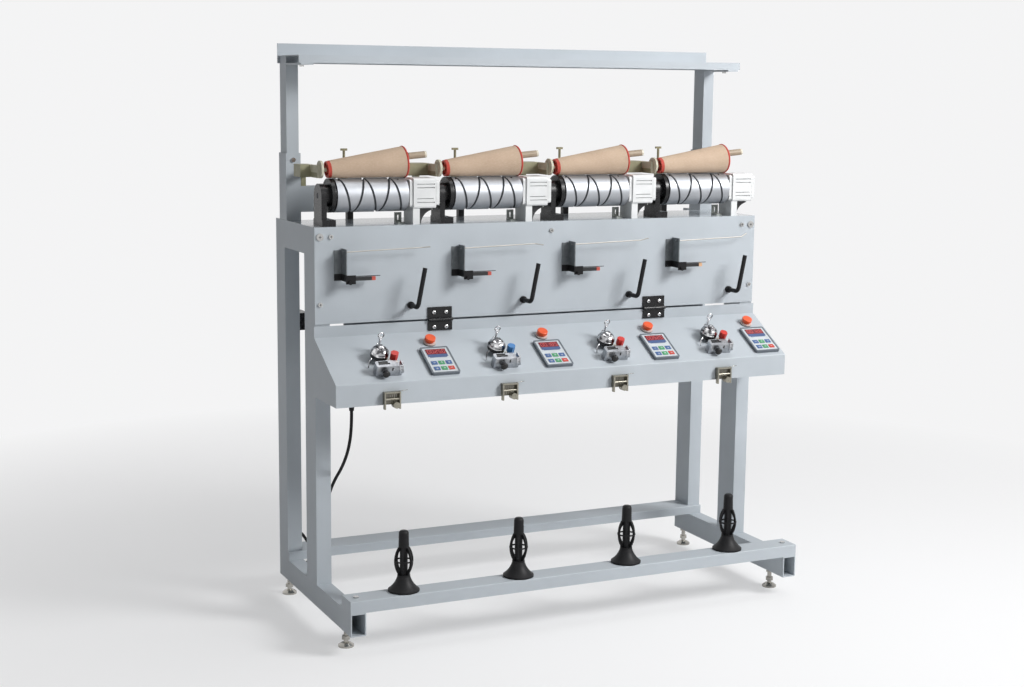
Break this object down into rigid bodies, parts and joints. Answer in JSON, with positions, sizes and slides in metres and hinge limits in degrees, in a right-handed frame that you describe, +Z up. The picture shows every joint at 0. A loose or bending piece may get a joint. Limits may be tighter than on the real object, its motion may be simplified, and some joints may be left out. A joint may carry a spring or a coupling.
{
  "type": "yarn cone winder",
  "caption": "Floor-standing machine that rewinds yarn onto paper cones, with grooved traverse drums, lifting cradles, a hinged control desk and supply pegs on its base",
  "frame": {"origin": "centre of the base on the floor, midway between the ends of the feet", "axes": "+X to the right along the machine, +Y to its back, +Z up; the control desk faces -Y"},
  "size_m": [1.1235, 0.676, 1.28],
  "materials": {
    "blue_grey_paint": "semi-gloss powder coat",
    "black_paint": "satin",
    "nickel": "bright nickel plate",
    "black_plastic": "matte",
    "white_paint": "gloss",
    "zinc_plate": "zinc plated",
    "steel": "bright",
    "cable_rubber": "matte",
    "grey_plastic": "satin",
    "white_plastic": "gloss film",
    "chrome": "polished",
    "aluminium": "satin",
    "paper_board": "smooth pressed paper",
    "khaki_paint": "enamel",
    "orange_plastic": "gloss",
    "red_plastic": "gloss"
  },
  "bodies": {
    "frame": {"left_side_frame": "blue_grey_paint", "right_side_frame": "blue_grey_paint", "front_rail": "blue_grey_paint", "rear_rail": "blue_grey_paint", "rear_beam": "blue_grey_paint", "left_upper_post": "blue_grey_paint", "right_upper_post": "blue_grey_paint", "top_shelf": "blue_grey_paint", "levelling_feet": "nickel", "supply_pegs": "black_plastic", "upper_panel": "blue_grey_paint", "drum_housings": "black_paint", "drum_motors": "white_paint", "motor_mounts": "zinc_plate", "cradle_pivots": "steel", "yarn_guides": "steel", "panel_hinge_leaves": "black_paint", "frame_screws": "nickel", "junction_box": "black_paint", "control_tray": "blue_grey_paint", "cord_gland": "cable_rubber", "power_cord": "cable_rubber", "cord_coil": "cable_rubber", "power_plug": "cable_rubber"},
    "lid": {"control_lid": "blue_grey_paint", "lid_hinge_leaves": "black_paint", "counters": "grey_plastic", "counter_faces": "white_plastic", "tensioners": "chrome", "clearers": "aluminium", "lip_guides": "nickel", "button_bases": "black_plastic"},
    "drum_1": {"drum_1": "aluminium"},
    "cradle_1": {"cradle_1": "khaki_paint"},
    "cone_1": {"cone_1": "paper_board"},
    "lever_1": {"lever_1": "steel"},
    "feeler_1": {"feeler_1": "black_plastic"},
    "push_button_1": {"push_button_1": "orange_plastic"},
    "tension_knob_1": {"tension_knob_1": "red_plastic"},
    "drum_2": {"drum_2": "aluminium"},
    "cradle_2": {"cradle_2": "khaki_paint"},
    "cone_2": {"cone_2": "paper_board"},
    "lever_2": {"lever_2": "steel"},
    "feeler_2": {"feeler_2": "black_plastic"},
    "push_button_2": {"push_button_2": "orange_plastic"},
    "tension_knob_2": {"tension_knob_2": "red_plastic"},
    "drum_3": {"drum_3": "aluminium"},
    "cradle_3": {"cradle_3": "khaki_paint"},
    "cone_3": {"cone_3": "paper_board"},
    "lever_3": {"lever_3": "steel"},
    "feeler_3": {"feeler_3": "black_plastic"},
    "push_button_3": {"push_button_3": "orange_plastic"},
    "tension_knob_3": {"tension_knob_3": "red_plastic"},
    "drum_4": {"drum_4": "aluminium"},
    "cradle_4": {"cradle_4": "khaki_paint"},
    "cone_4": {"cone_4": "paper_board"},
    "lever_4": {"lever_4": "steel"},
    "feeler_4": {"feeler_4": "black_plastic"},
    "push_button_4": {"push_button_4": "orange_plastic"},
    "tension_knob_4": {"tension_knob_4": "red_plastic"}
  },
  "joints": [
    {"name": "lid_hinge", "type": "hinge", "parent": "frame", "child": "lid", "pos_m": [0.006, -0.034, 0.676], "axis": [-1, 0, 0], "range_deg": [0, 75]},
    {"name": "drum_spin_1", "type": "hinge", "parent": "frame", "child": "drum_1", "pos_m": [-0.4125, 0.013, 0.953], "axis": [1, 0, 0], "continuous": true},
    {"name": "cradle_lift_1", "type": "hinge", "parent": "frame", "child": "cradle_1", "pos_m": [-0.4925, 0.189, 1], "axis": [-1, 0, 0], "range_deg": [0, 45]},
    {"name": "cone_spin_1", "type": "hinge", "parent": "cradle_1", "child": "cone_1", "pos_m": [-0.5105, 0.013, 1.00923], "axis": [0.9962, 0, 0.0872], "continuous": true},
    {"name": "lever_swing_1", "type": "hinge", "parent": "frame", "child": "lever_1", "pos_m": [-0.3375, -0.028, 0.711], "axis": [0, -1, 0], "range_deg": [-60, 15]},
    {"name": "feeler_lift_1", "type": "hinge", "parent": "frame", "child": "feeler_1", "pos_m": [-0.4865, -0.05, 0.777], "axis": [0, -1, 0], "range_deg": [0, 25]},
    {"name": "button_press_1", "type": "slide", "parent": "lid", "child": "push_button_1", "axis": [0, 0.4948, -0.869], "range_m": [0, 0.004], "stiffness_N_per_m": 600},
    {"name": "tension_turn_1", "type": "hinge", "parent": "lid", "child": "tension_knob_1", "pos_m": [-0.4185, -0.12533, 0.59558], "axis": [0, -0.4948, 0.869], "range_deg": [-150, 150]},
    {"name": "drum_spin_2", "type": "hinge", "parent": "frame", "child": "drum_2", "pos_m": [-0.1375, 0.013, 0.953], "axis": [1, 0, 0], "continuous": true},
    {"name": "cradle_lift_2", "type": "hinge", "parent": "frame", "child": "cradle_2", "pos_m": [-0.2175, 0.189, 1], "axis": [-1, 0, 0], "range_deg": [0, 45]},
    {"name": "cone_spin_2", "type": "hinge", "parent": "cradle_2", "child": "cone_2", "pos_m": [-0.2355, 0.013, 1.00923], "axis": [0.9962, 0, 0.0872], "continuous": true},
    {"name": "lever_swing_2", "type": "hinge", "parent": "frame", "child": "lever_2", "pos_m": [-0.0625, -0.028, 0.711], "axis": [0, -1, 0], "range_deg": [-60, 15]},
    {"name": "feeler_lift_2", "type": "hinge", "parent": "frame", "child": "feeler_2", "pos_m": [-0.2115, -0.05, 0.777], "axis": [0, -1, 0], "range_deg": [0, 25]},
    {"name": "button_press_2", "type": "slide", "parent": "lid", "child": "push_button_2", "axis": [0, 0.4948, -0.869], "range_m": [0, 0.004], "stiffness_N_per_m": 600},
    {"name": "tension_turn_2", "type": "hinge", "parent": "lid", "child": "tension_knob_2", "pos_m": [-0.1435, -0.12533, 0.59558], "axis": [0, -0.4948, 0.869], "range_deg": [-150, 150]},
    {"name": "drum_spin_3", "type": "hinge", "parent": "frame", "child": "drum_3", "pos_m": [0.1375, 0.013, 0.953], "axis": [1, 0, 0], "continuous": true},
    {"name": "cradle_lift_3", "type": "hinge", "parent": "frame", "child": "cradle_3", "pos_m": [0.0575, 0.189, 1], "axis": [-1, 0, 0], "range_deg": [0, 45]},
    {"name": "cone_spin_3", "type": "hinge", "parent": "cradle_3", "child": "cone_3", "pos_m": [0.0395, 0.013, 1.00923], "axis": [0.9962, 0, 0.0872], "continuous": true},
    {"name": "lever_swing_3", "type": "hinge", "parent": "frame", "child": "lever_3", "pos_m": [0.2125, -0.028, 0.711], "axis": [0, -1, 0], "range_deg": [-60, 15]},
    {"name": "feeler_lift_3", "type": "hinge", "parent": "frame", "child": "feeler_3", "pos_m": [0.0635, -0.05, 0.777], "axis": [0, -1, 0], "range_deg": [0, 25]},
    {"name": "button_press_3", "type": "slide", "parent": "lid", "child": "push_button_3", "axis": [0, 0.4948, -0.869], "range_m": [0, 0.004], "stiffness_N_per_m": 600},
    {"name": "tension_turn_3", "type": "hinge", "parent": "lid", "child": "tension_knob_3", "pos_m": [0.1315, -0.12533, 0.59558], "axis": [0, -0.4948, 0.869], "range_deg": [-150, 150]},
    {"name": "drum_spin_4", "type": "hinge", "parent": "frame", "child": "drum_4", "pos_m": [0.4125, 0.013, 0.953], "axis": [1, 0, 0], "continuous": true},
    {"name": "cradle_lift_4", "type": "hinge", "parent": "frame", "child": "cradle_4", "pos_m": [0.3325, 0.189, 1], "axis": [-1, 0, 0], "range_deg": [0, 45]},
    {"name": "cone_spin_4", "type": "hinge", "parent": "cradle_4", "child": "cone_4", "pos_m": [0.3145, 0.013, 1.00923], "axis": [0.9962, 0, 0.0872], "continuous": true},
    {"name": "lever_swing_4", "type": "hinge", "parent": "frame", "child": "lever_4", "pos_m": [0.4875, -0.028, 0.711], "axis": [0, -1, 0], "range_deg": [-60, 15]},
    {"name": "feeler_lift_4", "type": "hinge", "parent": "frame", "child": "feeler_4", "pos_m": [0.3385, -0.05, 0.777], "axis": [0, -1, 0], "range_deg": [0, 25]},
    {"name": "button_press_4", "type": "slide", "parent": "lid", "child": "push_button_4", "axis": [0, 0.4948, -0.869], "range_m": [0, 0.004], "stiffness_N_per_m": 600},
    {"name": "tension_turn_4", "type": "hinge", "parent": "lid", "child": "tension_knob_4", "pos_m": [0.4065, -0.12533, 0.59558], "axis": [0, -0.4948, 0.869], "range_deg": [-150, 150]}
  ],
  "couplings": [
    {"joint": "cone_spin_1", "follows": "drum_spin_1", "ratio": -1.396},
    {"joint": "cone_spin_2", "follows": "drum_spin_2", "ratio": -1.396},
    {"joint": "cone_spin_3", "follows": "drum_spin_3", "ratio": -1.396},
    {"joint": "cone_spin_4", "follows": "drum_spin_4", "ratio": -1.396}
  ]
}
